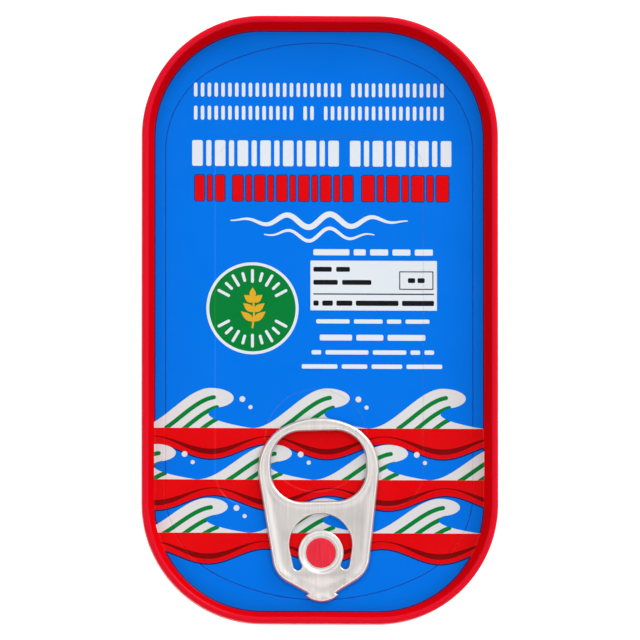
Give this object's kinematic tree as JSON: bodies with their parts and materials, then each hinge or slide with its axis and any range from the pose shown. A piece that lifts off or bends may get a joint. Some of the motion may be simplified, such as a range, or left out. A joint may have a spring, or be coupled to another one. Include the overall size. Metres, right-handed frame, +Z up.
{
  "type": "tin of mackerel",
  "caption": "Shut rectangular fish tin with round corners: drawn body, double-seamed easy-open end with a score line, and a ring pull held by a rivet.",
  "frame": {"origin": "on the surface it stands on, under the middle of the tin", "axes": "+Z up, +Y along the tin's length from the ring pull's rivet towards the other end, +X across the tin"},
  "size_m": [0.0614, 0.105, 0.0295],
  "materials": {
    "can_enamel": "satin enamel on tinplate, red",
    "panel_enamel": "satin enamel on tinplate, blue, with printed fields",
    "pull_metal": "fine brushed, rolled edges"
  },
  "bodies": {
    "root": {"can_body": "can_enamel", "lid": "panel_enamel", "tab": "pull_metal"}
  },
  "joints": []
}
